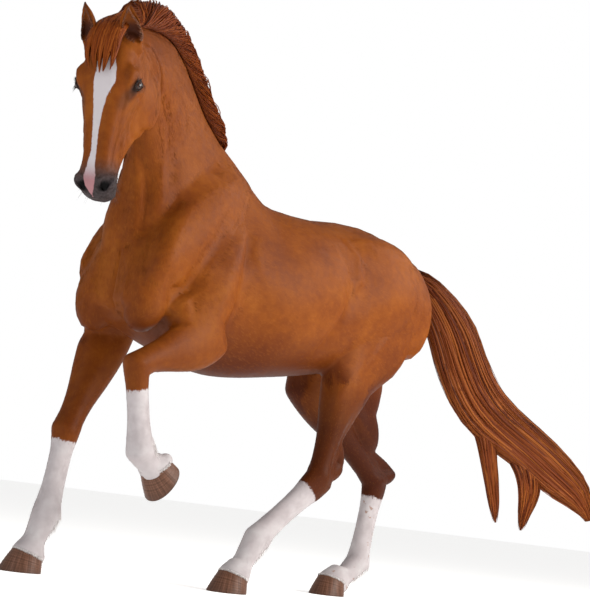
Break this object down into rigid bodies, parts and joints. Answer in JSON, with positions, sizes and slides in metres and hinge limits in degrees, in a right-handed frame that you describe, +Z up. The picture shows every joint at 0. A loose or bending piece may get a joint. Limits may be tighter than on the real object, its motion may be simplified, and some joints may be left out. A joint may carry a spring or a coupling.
{
  "type": "horse",
  "caption": "Life-size chestnut horse with white stockings in a collected canter, one foreleg raised, standing on flat soles.",
  "frame": {"origin": "on the floor, under the middle of the whole horse's box", "axes": "+X the way the horse goes, +Y its left side, +Z up"},
  "size_m": [2.9106, 0.783, 2.0879],
  "materials": {
    "coat": "short glossy chestnut coat",
    "stocking": "short white coat of the lower legs",
    "hair": "long red mane and tail hair",
    "horn": "streaked brown hoof horn",
    "eye": "wet dark brown eye"
  },
  "bodies": {
    "root": {"cannon_fore_left": "stocking", "cannon_fore_right": "stocking", "cannon_hind_left": "stocking", "cannon_hind_right": "stocking", "ear_left": "coat", "ear_right": "coat", "eye_left": "eye", "eye_right": "eye", "forearm_left": "coat", "forearm_right": "coat", "forelock": "hair", "gaskin_left": "coat", "gaskin_right": "coat", "head": "coat", "hock_left": "coat", "hock_right": "coat", "hoof_fore_left": "horn", "hoof_fore_right": "horn", "hoof_hind_left": "horn", "hoof_hind_right": "horn", "knee_left": "coat", "knee_right": "coat", "mane": "hair", "neck": "coat", "pastern_fore_left": "stocking", "pastern_fore_right": "stocking", "pastern_hind_left": "stocking", "pastern_hind_right": "stocking", "tail_dock": "hair", "tail_end": "hair", "tail_lock_low": "hair", "tail_lock_middle": "hair", "tail_middle": "hair", "tail_upper": "hair", "thigh_left": "coat", "thigh_right": "coat", "trunk_barrel": "coat", "trunk_forehand": "coat", "trunk_hindquarters": "coat"}
  },
  "joints": []
}
